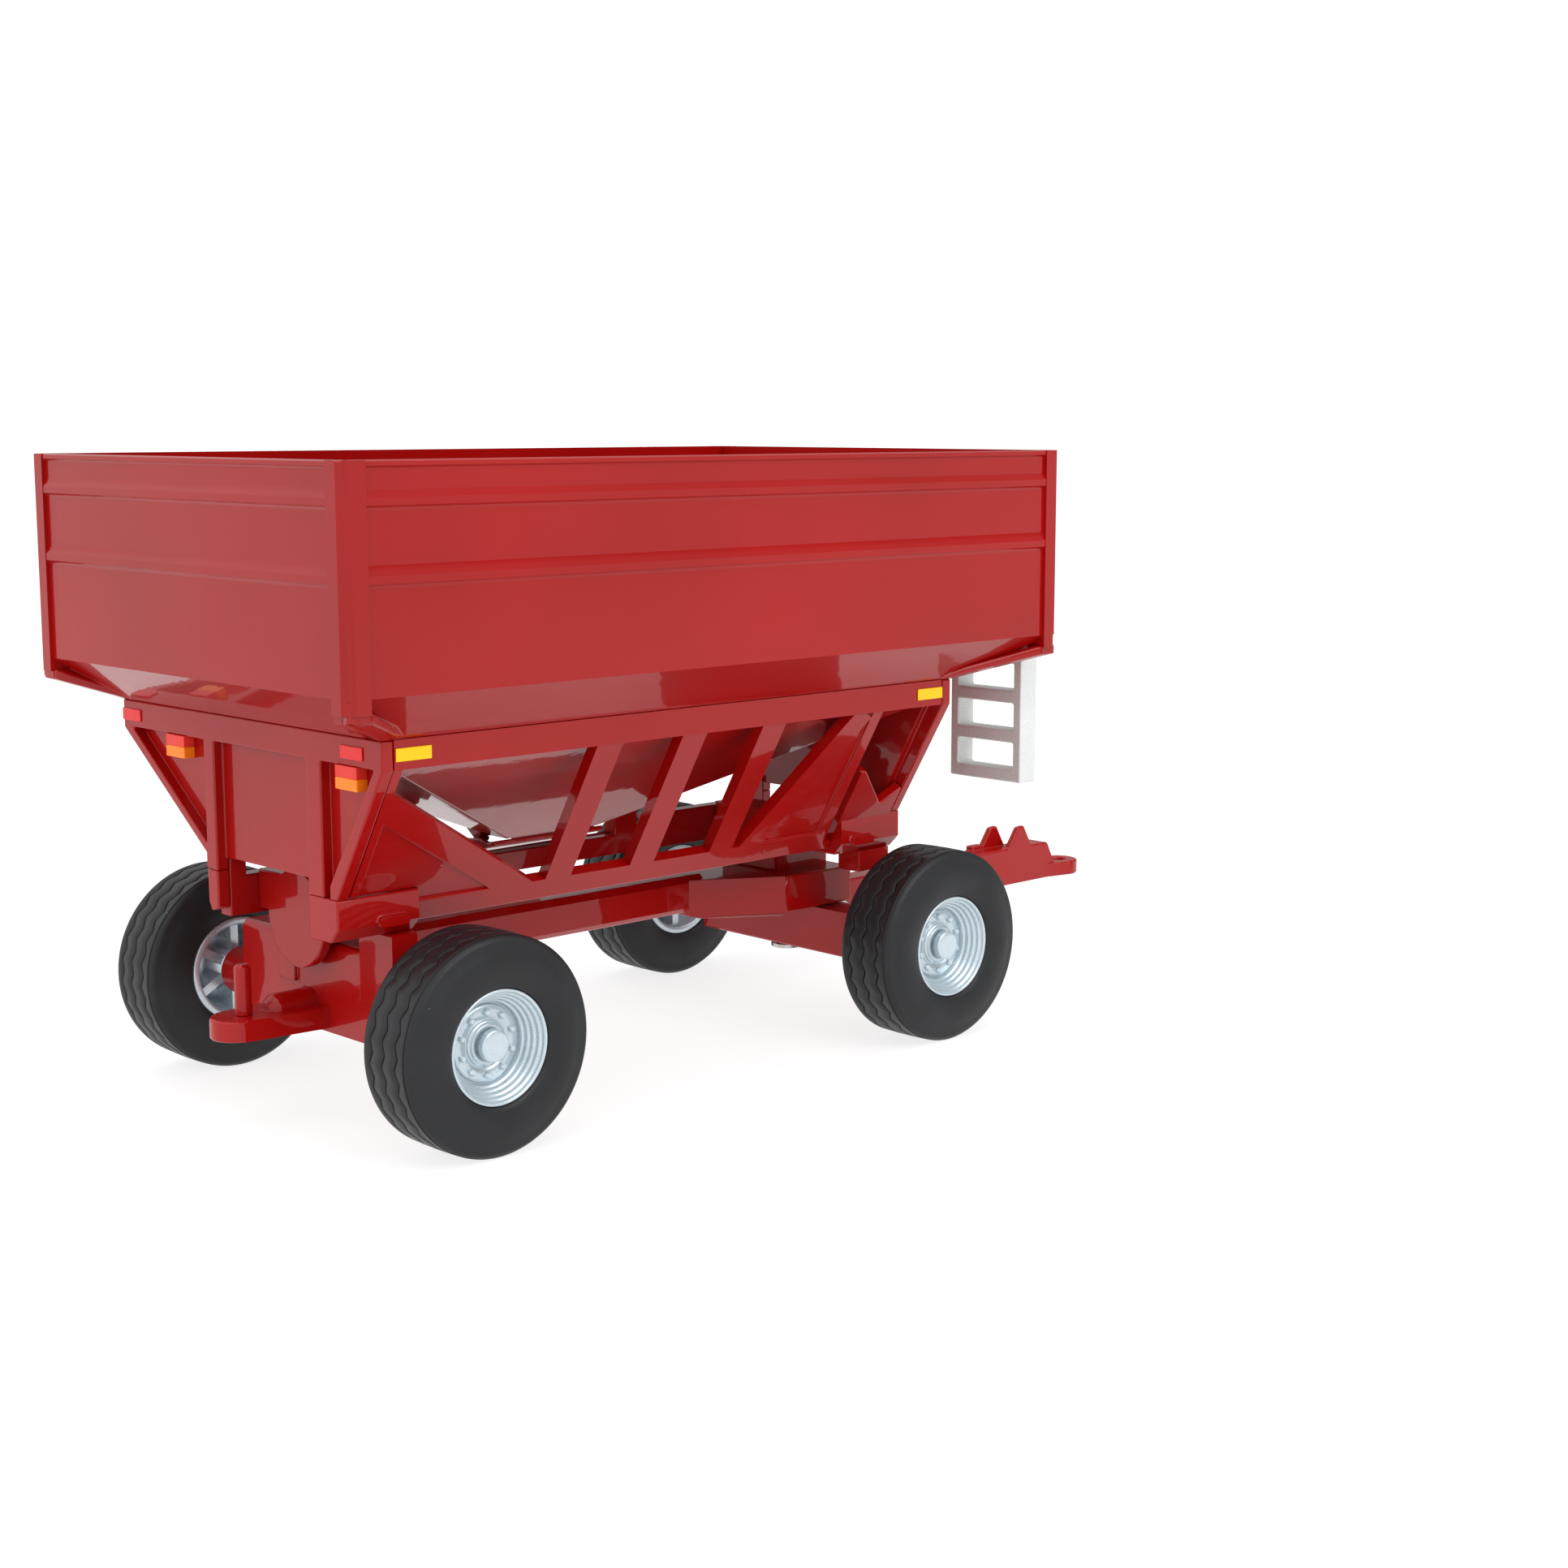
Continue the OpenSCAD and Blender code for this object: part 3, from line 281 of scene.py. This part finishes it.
def join_flat_faces(bm):
    """Joins neighbouring faces in one plane while they stay convex, longest seams first."""
    flat = math.radians(0.7)
    straight = math.radians(180.2)
    seams = [edge for edge in bm.edges if len(edge.link_faces) == 2 and edge.calc_face_angle(1) < flat]
    for edge in sorted(seams, key=lambda e: -e.calc_length()):
        one, other = edge.link_faces
        if len(set(one.verts) & set(other.verts)) > 2:
            continue
        if all(open_angle(one, v) + open_angle(other, v) < straight for v in edge.verts):
            bmesh.utils.face_join((one, other), True)
    idle = [v for v in bm.verts if len(v.link_edges) == 2 and v.calc_edge_angle(1) < math.radians(0.5)]
    bmesh.ops.dissolve_verts(bm, verts=idle)


def near_edge(edge, spot, reach):
    """Whether a spot lies within reach of an edge."""
    a, b = (vertex.co for vertex in edge.verts)
    along = b - a
    share = max(0.0, min(1.0, (spot - a).dot(along) / along.length_squared))
    return (a + along * share - spot).length < reach


def folds(mesh):
    """Corners of the triangles that a too wide bevel has turned over."""
    least = 0.02 * MM * MM
    mesh.calc_loop_triangles()
    normals = mesh.corner_normals
    corners = []
    for triangle in mesh.loop_triangles:
        a, b, c = (mesh.vertices[i].co for i in triangle.vertices)
        way = (b - a).cross(c - a)
        agreement = min(normals[i].vector.dot(way) for i in triangle.loops)
        if way.length > 2 * least and agreement < 0.2 * way.length:
            corners += [a.copy(), b.copy(), c.copy()]
    return corners


def rounded(mesh, name, material, radius, segments):
    """The mesh with its weighted edges rounded and its shading settled."""
    piece = object_from(mesh, name, material)
    round_edges = piece.modifiers.new("round_edges", "BEVEL")
    round_edges.limit_method = "WEIGHT"
    round_edges.width = radius
    round_edges.segments = segments
    round_edges.use_clamp_overlap = False
    round_edges.miter_outer = "MITER_ARC"
    settle = piece.modifiers.new("settle_shading", "WEIGHTED_NORMAL")
    settle.weight = 60
    settle.keep_sharp = True
    return applied(piece)


def softened(node, material, radius, segments=3):
    """A casting or moulding with its edges rounded, made from a copy of the CAD node's mesh.

    Edges too tight for the round stay sharp: where a trial folds over, their weight is taken off.
    Nothing is let past the CAD node's box."""
    merge_gap = 0.03 * MM
    sharp = math.radians(24)
    tries = 5
    bm = bmesh.new()
    bm.from_mesh(frame["nodes"][node].data)
    bmesh.ops.remove_doubles(bm, verts=bm.verts, dist=merge_gap)
    bmesh.ops.dissolve_degenerate(bm, edges=bm.edges, dist=merge_gap)
    join_flat_faces(bm)
    weight = bm.edges.layers.float.new("bevel_weight_edge")
    for edge in bm.edges:
        if len(edge.link_faces) == 2 and edge.calc_face_angle(0) > sharp:
            edge[weight] = min(1.0, 0.4 * room_beside(edge) / radius)
            edge.smooth = False
    for face in bm.faces:
        face.smooth = True
    for trial in range(tries):
        mesh = bpy.data.meshes.new(node)
        bm.to_mesh(mesh)
        piece = rounded(mesh, node + "_finished", material, radius, segments)
        bad = folds(piece.data)
        if not bad or trial == tries - 1:
            break
        for edge in bm.edges:
            if edge[weight] > 0 and any(near_edge(edge, spot, radius) for spot in bad):
                edge[weight] = 0.0
        bpy.data.meshes.remove(piece.data)
    bm.free()
    low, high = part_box(node)
    for vertex in piece.data.vertices:
        vertex.co = [min(max(c, least), most) for c, least, most in zip(vertex.co, low, high)]
    return piece


def finish_node(node, material, body, radius, segments=3):
    """Rounds a node's edges, paints it, and lets it stand for the CAD node on its body."""
    piece = softened(node, material, radius, segments)
    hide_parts(node)
    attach(piece, body)


# ---------------------------------------------------------------------------
# Castings, fittings and pins
# ---------------------------------------------------------------------------
bodies = frame["record"]["behaviour"]["bodies"]
body_of_node = {node: body for body, members in bodies.items() for node in members}

CASTINGS = {  # edge radius in millimetres
    "hopper_box": 0.42, "hopper_funnel": 0.3, "end_frame_rear": 0.28, "end_frame_front": 0.28,
    "side_frame_right": 0.28, "side_frame_left": 0.28, "rear_bolster": 0.3, "front_bolster": 0.3,
    "rear_axle_beam": 0.4, "reach_beam": 0.35, "yoke_block": 0.3, "front_axle_beam": 0.4,
    "tongue": 0.4, "discharge_door": 0.25, "door_guides": 0.2, "discharge_chute": 0.3,
    "rear_hitch_pin": 0.25,
}
for node, radius in CASTINGS.items():
    finish_node(node, enamel, body_of_node[node], radius * MM)

finish_node("ladder", ladder_silver, "wagon", 0.35 * MM)

PRINTS = {"side_reflectors_right": (amber, "amber_print"), "side_reflectors_left": (amber, "amber_print"),
          "rear_reflectors": (red_print, "red_print"), "stop_lens_left": (stop_paint, "stop_paint"),
          "stop_lens_right": (stop_paint, "stop_paint"), "turn_lens_left": (turn_paint, "turn_paint"),
          "turn_lens_right": (turn_paint, "turn_paint")}
for node, (material, slot) in PRINTS.items():
    finish_node(node, material, "wagon", 0.1 * MM, 2)

STEEL = ("rear_axle_rod", "rear_axle_clips", "kingpin", "kingpin_clip", "front_axle_rods",
         "front_axle_clips", "tongue_pin", "rear_axle_screws", "yoke_screws")
for node in STEEL:
    finish_node(node, plated, body_of_node[node], 0.12 * MM, 2)


# ---------------------------------------------------------------------------
# Wheels
# ---------------------------------------------------------------------------
def lathe(name, profile, around, place=None):
    """A closed ring turned about the Y axis from (radius, y) points listed round the section.

    place, where given, moves a point: it takes angle, radius and y and gives radius and y."""
    bm = bmesh.new()
    rings = []
    for k in range(around):
        angle = 2 * math.pi * k / around
        ring = []
        for radius, y in profile:
            r, w = place(angle, radius, y) if place else (radius, y)
            ring.append(bm.verts.new((r * math.cos(angle), w, r * math.sin(angle))))
        rings.append(ring)
    count = len(profile)
    for k in range(around):
        here, there = rings[k], rings[(k + 1) % around]
        for j in range(count):
            n = (j + 1) % count
            bm.faces.new((here[j], here[n], there[n], there[j])).smooth = True
    bmesh.ops.recalc_face_normals(bm, faces=bm.faces)
    mesh = bpy.data.meshes.new(name)
    bm.to_mesh(mesh)
    bm.free()
    return mesh


def arc(centre, radius, first, last, count):
    """Points on a circular arc, angles in degrees."""
    return [(centre[0] + radius * math.cos(math.radians(first + (last - first) * i / count)),
             centre[1] + radius * math.sin(math.radians(first + (last - first) * i / count)))
            for i in range(count + 1)]


NUTS = 10
SPOKES = 6
TREAD_GROOVES = (-3.2 * MM, 0.0, 3.2 * MM)
TREAD_WAVES = 28
GROOVE_WIDTH = 0.42 * MM
GROOVE_DEPTH = 0.5 * MM
GROOVE_SWAY = 0.36 * MM
TREAD_HALF = tyre_half - 1.45 * MM


def tyre_section():
    """The tyre's section from bead to bead: soft bulging wall, rounded shoulder, grooved crown."""
    bead_r = rim_r - 0.45 * MM
    wall = tyre_half
    side = [(bead_r, wall - 1.2 * MM), (rim_r + 0.1 * MM, wall - 1.15 * MM),
            (rim_r + 0.12 * MM, wall - 0.75 * MM),
            (rim_r + 0.35 * MM, wall - 0.5 * MM), (rim_r + 0.9 * MM, wall - 0.32 * MM),
            (rim_r + 2.0 * MM, wall - 0.1 * MM), (rim_r + 3.3 * MM, wall),
            (rim_r + 4.6 * MM, wall - 0.08 * MM), (rim_r + 5.7 * MM, wall - 0.3 * MM),
            (rim_r + 6.35 * MM, wall - 0.52 * MM)]
    side += arc((tyre_r - 1.35 * MM, wall - 1.85 * MM), 1.25 * MM, 78, 8, 7)
    crown = []
    for at in reversed(TREAD_GROOVES):
        for offset, depth in ((0.5, 0), (0.36, 0.12), (0.26, 0.9), (0.12, 1), (-0.12, 1), (-0.26, 0.9),
                              (-0.36, 0.12), (-0.5, 0)):
            y = at + offset * GROOVE_WIDTH
            fall = 0.12 * MM * (y / TREAD_HALF) ** 2
            crown.append((tyre_r - fall - depth * GROOVE_DEPTH, y))
    edge = [(tyre_r - 0.12 * MM, TREAD_HALF), (tyre_r - 0.1 * MM, 0.93 * TREAD_HALF)]
    right = [(r, -y) for r, y in reversed(side + edge)]
    inner = [(bead_r, -0.5 * wall), (bead_r, 0.5 * wall)]
    return side + edge + crown + right + inner


def sway(angle, radius, y):
    """Lets the tread grooves wander from side to side in even waves."""
    if radius < tyre_r - 0.8 * MM or abs(y) > 0.9 * TREAD_HALF:
        return radius, y
    phase = TREAD_WAVES * angle
    wave = math.sin(phase) - 0.11 * math.sin(3 * phase)
    return radius, y + GROOVE_SWAY * wave


def rim_section():
    """The rim's section: bore, back of the disc, barrel, lip, stepped dish, disc face and hub ring."""
    lip_r, lip_y = rim_r, rim_half
    disc_y, disc_r = 2.1 * MM, 6.1 * MM
    bore, tube_r, tube_y = 1.56 * MM, 2.9 * MM, -5.57 * MM
    back = [(bore, tube_y), (tube_r, tube_y), (tube_r, 0.75 * MM), (6.6 * MM, 0.75 * MM),
            (lip_r - 1.35 * MM, -lip_y + 0.35 * MM), (lip_r - 1.0 * MM, -lip_y),
            (lip_r - 0.15 * MM, -lip_y),
            (lip_r, -lip_y + 0.15 * MM), (lip_r, -lip_y + 0.62 * MM), (lip_r - 0.5 * MM, -lip_y + 0.7 * MM)]
    front = [(lip_r - 0.5 * MM, lip_y - 0.7 * MM), (lip_r, lip_y - 0.62 * MM), (lip_r, lip_y - 0.14 * MM),
             (lip_r - 0.08 * MM, lip_y - 0.03 * MM), (lip_r - 0.2 * MM, lip_y),
             (lip_r - 0.36 * MM, lip_y - 0.02 * MM),
             (lip_r - 0.5 * MM, lip_y - 0.12 * MM)]
    steps = 4
    r_out, y_out = lip_r - 0.55 * MM, lip_y - 0.35 * MM
    r_in, y_in = disc_r + 0.45 * MM, disc_y + 0.1 * MM
    dish = []
    for i in range(steps):
        t0, t1 = i / steps, (i + 1) / steps
        r0, r1 = r_out + (r_in - r_out) * t0, r_out + (r_in - r_out) * t1
        y0, y1 = y_out + (y_in - y_out) * t0, y_out + (y_in - y_out) * t1
        dish += [(r0, y0 - 0.05 * MM), (r0 - 0.06 * MM, y0 - 0.42 * (y0 - y1)),
                 (r0 - 0.16 * MM, y0 - 0.56 * (y0 - y1)), (r1 + 0.12 * MM, y0 - 0.6 * (y0 - y1)),
                 (r1 + 0.03 * MM, y0 - 0.7 * (y0 - y1))]
    valley = [(disc_r + 0.42 * MM, disc_y - 0.5 * MM), (disc_r + 0.34 * MM, disc_y - 0.62 * MM),
              (disc_r + 0.12 * MM, disc_y - 0.62 * MM), (disc_r + 0.04 * MM, disc_y - 0.5 * MM),
              (disc_r, disc_y - 0.14 * MM), (disc_r - 0.14 * MM, disc_y)]
    hub = [(4.02 * MM, disc_y), (3.94 * MM, disc_y - 0.1 * MM), (3.8 * MM, disc_y - 0.1 * MM),
           (3.72 * MM, disc_y), (3.68 * MM, disc_y + 0.12 * MM), (3.5 * MM, disc_y + 0.3 * MM),
           (3.3 * MM, disc_y + 0.34 * MM), (3.24 * MM, disc_y + 0.7 * MM), (3.1 * MM, disc_y + 0.8 * MM),
           (2.3 * MM, disc_y + 0.8 * MM), (2.25 * MM, disc_y), (bore, disc_y)]
    return back + front + dish + valley + hub


def cap_section():
    """The hub cap's section: thin wall, slightly crowned face with a rounded edge."""
    cap_low, cap_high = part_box("hub_cap_rear_left")
    wheel_y = middle("tyre_rear_left").y
    y0, y1 = cap_low.y - wheel_y, cap_high.y - wheel_y
    r = (cap_high.z - cap_low.z) / 2
    face = arc((r - 0.42 * MM, y1 - 0.47 * MM), 0.42 * MM, 0, 80, 5)
    middle_points = [(0.55 * r, y1 - 0.01 * MM), (0.06 * MM, y1), (0.02 * MM, y1)]
    return ([(2.1 * MM, y0), (r, y0)] + face + middle_points
            + [(0.02 * MM, y1 - 0.9 * MM), (2.1 * MM, y1 - 0.9 * MM)])


def ring_tree(name, make_unit):
    """Node tree that sets copies of a unit round the Y axis and gives them a material.

    Inputs: Count, Ring (radius), Turn (angle of the first), Face (y), then the unit's own sizes."""
    tree = bpy.data.node_groups.new(name, "GeometryNodeTree")
    ports = tree.interface
    ports.new_socket("Geometry", in_out="OUTPUT", socket_type="NodeSocketGeometry")
    ports.new_socket("Count", in_out="INPUT", socket_type="NodeSocketInt")
    for port in ("Ring", "Turn", "Face", "Width", "Height", "Reach"):
        ports.new_socket(port, in_out="INPUT", socket_type="NodeSocketFloat")
    ports.new_socket("Finish", in_out="INPUT", socket_type="NodeSocketMaterial")
    given = add(tree, "NodeGroupInput").outputs
    circle = add(tree, "GeometryNodeMeshCircle", {"fill_type": "NONE"}, Vertices=given["Count"],
                 Radius=given["Ring"])
    spot = add(tree, "GeometryNodeInputIndex").outputs[0]
    share = add(tree, "ShaderNodeMath", {"operation": "DIVIDE"}, in_0=spot, in_1=given["Count"])
    angle = add(tree, "ShaderNodeMath", {"operation": "MULTIPLY"}, in_0=share.outputs[0], in_1=2 * math.pi)
    spin = add(tree, "ShaderNodeCombineXYZ", Z=angle.outputs[0])
    copies = add(tree, "GeometryNodeInstanceOnPoints", Points=circle.outputs["Mesh"],
                 Instance=make_unit(tree, given), Rotation=spin.outputs[0])
    turn = add(tree, "ShaderNodeCombineXYZ", Z=given["Turn"])
    turned = add(tree, "GeometryNodeTransform", Geometry=copies.outputs[0], Rotation=turn.outputs[0])
    out = add(tree, "ShaderNodeCombineXYZ", Y=given["Face"])
    upright = add(tree, "GeometryNodeTransform", Geometry=turned.outputs[0], Translation=out.outputs[0],
                  Rotation=(-math.pi / 2, 0, 0))
    real = add(tree, "GeometryNodeRealizeInstances", Geometry=upright.outputs[0])
    painted = add(tree, "GeometryNodeSetMaterial", Geometry=real.outputs[0], Material=given["Finish"])
    result = add(tree, "NodeGroupOutput")
    tree.links.new(painted.outputs[0], result.inputs[0])
    return tree


def nut_unit(tree, given):
    """A moulded wheel nut: a short drum that rounds over to a smaller top."""
    drum = add(tree, "GeometryNodeMeshCylinder", Vertices=16, Radius=given["Width"], Depth=given["Height"])
    top_r = add(tree, "ShaderNodeMath", {"operation": "MULTIPLY"}, in_0=given["Width"], in_1=0.68)
    cap_h = add(tree, "ShaderNodeMath", {"operation": "MULTIPLY"}, in_0=given["Height"], in_1=0.22)
    crown = add(tree, "GeometryNodeMeshCone", Vertices=16, Radius_Top=top_r.outputs[0],
                Radius_Bottom=given["Width"], Depth=cap_h.outputs[0])
    half = add(tree, "ShaderNodeMath", {"operation": "MULTIPLY"}, in_0=given["Height"], in_1=0.5)
    up = add(tree, "ShaderNodeCombineXYZ", Z=half.outputs[0])
    raised = add(tree, "GeometryNodeTransform", Geometry=crown.outputs[0], Translation=up.outputs[0])
    both = add(tree, "GeometryNodeJoinGeometry")
    tree.links.new(raised.outputs[0], both.inputs[0])
    tree.links.new(drum.outputs[0], both.inputs[0])
    return both.outputs[0]


def spoke_unit(tree, given):
    """A stiffening rib behind the disc: a thin upright slab that runs out from the hub tube."""
    size = add(tree, "ShaderNodeCombineXYZ", X=given["Reach"], Y=given["Width"], Z=given["Height"])
    return add(tree, "GeometryNodeMeshCube", Size=size.outputs[0]).outputs[0]


def ring_of(tree, name, material, **sizes):
    """Runs a ring tree and gives back its plain mesh, still round the origin."""
    maker = object_from(bpy.data.meshes.new(name), name, material)
    modifier = maker.modifiers.new("ring", "NODES")
    modifier.node_group = tree
    for port in tree.interface.items_tree:
        if port.in_out == "INPUT":
            modifier[port.identifier] = material if port.name == "Finish" else sizes[port.name]
    return applied(maker)


def at_wheel(mesh, wheel):
    """Moves a mesh drawn round the origin, outside towards +Y, to its wheel."""
    if wheel.endswith("right"):
        mesh.transform(Matrix.Rotation(math.pi, 4, "Z"))
    mesh.transform(Matrix.Translation(middle("tyre_" + wheel)))
    mesh.update()


nut_ring = ring_tree("ring_of_wheel_nuts", nut_unit)
spoke_ring = ring_tree("ring_of_spokes", spoke_unit)


def wheel(name):
    """One wheel's tyre, rim, hub cap, wheel nuts and spokes, on its own body."""
    tyre = lathe("tyre_" + name + "_moulded", tyre_section(), TREAD_WAVES * 12, sway)
    rim = lathe("rim_" + name + "_moulded", rim_section(), 128)
    cap = lathe("hub_cap_" + name + "_moulded", cap_section(), 64)
    parts = (("tyre_", tyre, rubber, "tyre_rubber"), ("rim_", rim, rim_silver, "rim_plastic"),
             ("hub_cap_", cap, rim_silver, "rim_plastic"))
    for prefix, mesh, material, slot in parts:
        at_wheel(mesh, name)
        piece = object_from(mesh, mesh.name, material)
        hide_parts(prefix + name)
        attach(piece, "wheel_" + name)
    nuts = ring_of(nut_ring, "wheel_nuts_" + name, rim_silver, Count=NUTS, Ring=4.95 * MM,
                   Turn=math.pi / NUTS, Face=2.15 * MM, Width=0.55 * MM, Height=0.96 * MM, Reach=0.0)
    spokes = ring_of(spoke_ring, "rim_spokes_" + name, rim_silver, Count=SPOKES, Ring=5.1 * MM,
                     Turn=math.pi / SPOKES, Face=-1.6 * MM, Width=1.5 * MM, Height=5.2 * MM, Reach=4.9 * MM)
    for piece in (nuts, spokes):
        at_wheel(piece.data, name)
        for face in piece.data.polygons:
            face.use_smooth = False
        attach(piece, "wheel_" + name)


for name in WHEELS:
    wheel(name)


# ---------------------------------------------------------------------------
# Floor, light and camera
# ---------------------------------------------------------------------------
def floor():
    """A wide white light table under the tyres: it glows, so shadows on it stay pale."""
    half = 8.0  # metres
    mesh = bpy.data.meshes.new("studio_floor")
    mesh.from_pydata([(-half, -half, 0), (half, -half, 0), (half, half, 0), (-half, half, 0)], [],
                     [(0, 1, 2, 3)])
    material, tree, surface, place = start("backlit_white_acrylic_sheet", "#8A8A8A", 0.8,
                                           Specular_IOR_Level=0.2, Emission_Color=(1, 1, 1, 1),
                                           Emission_Strength=0.8)
    grain = ramp(tree, noise(tree, place, 30, 2), (0.3, "#888888"), (0.7, "#8C8C8C"))
    tree.links.new(grain, surface.inputs["Base Color"])
    sheet = object_from(mesh, "studio_floor", material)


def soft_light(name, at, aim, width, height, watts):
    """A white softbox at a place, turned towards another."""
    lamp = bpy.data.lights.new(name, "AREA")
    lamp.shape = "RECTANGLE"
    lamp.size, lamp.size_y = width, height
    lamp.energy = watts
    holder = bpy.data.objects.new(name, lamp)
    holder.location = at
    holder.rotation_euler = (Vector(aim) - Vector(at)).to_track_quat("-Z", "Y").to_euler()
    bpy.context.scene.collection.objects.link(holder)


def studio():
    """White surroundings, brightest behind and above the wagon's rear, with soft boxes overhead."""
    world = bpy.data.worlds.new("white_studio")
    world.use_nodes = True
    tree = world.node_tree
    backdrop = tree.nodes["Background"]
    backdrop.inputs["Color"].default_value = (1, 1, 1, 1)
    way = add(tree, "ShaderNodeTexCoord").outputs["Generated"]
    brightest = (-0.78, 0.1, 0.62)
    facing = add(tree, "ShaderNodeVectorMath", {"operation": "DOT_PRODUCT"}, in_0=way, in_1=brightest)
    level = add(tree, "ShaderNodeMapRange", in_0=facing.outputs["Value"], in_1=-0.6, in_2=0.9, in_3=0.25,
                in_4=1.4)
    seen = add(tree, "ShaderNodeLightPath").outputs["Is Camera Ray"]
    strength = add(tree, "ShaderNodeMath", {"operation": "MAXIMUM"}, in_0=level.outputs[0], in_1=seen)
    tree.links.new(strength.outputs[0], backdrop.inputs["Strength"])
    bpy.context.scene.world = world
    target = (0, 0, 0.05)
    soft_light("overhead_softbox", (-0.1, -0.1, 0.8), target, 0.8, 0.6, 1.8)
    soft_light("right_softbox", (0.15, -0.85, 0.6), target, 0.7, 0.5, 4.0)


def camera():
    """Camera level with the wagon's wheels and box, behind its right rear corner."""
    lens = bpy.data.cameras.new("camera")
    lens.lens = 55.09
    lens.sensor_width = 36
    lens.clip_start = 0.01
    lens.clip_end = 20
    holder = bpy.data.objects.new("camera", lens)
    eye = Vector((rear_axle_x - 0.21493, -0.32827, 0.11216))
    look = Vector((rear_axle_x + 0.10122, 0, 0.04265))
    holder.location = eye
    holder.rotation_euler = (look - eye).to_track_quat("-Z", "Y").to_euler()
    bpy.context.scene.collection.objects.link(holder)
    bpy.context.scene.camera = holder


floor()
studio()
camera()
bpy.context.scene.view_settings.view_transform = "Standard"

bpy.context.view_layer.update()
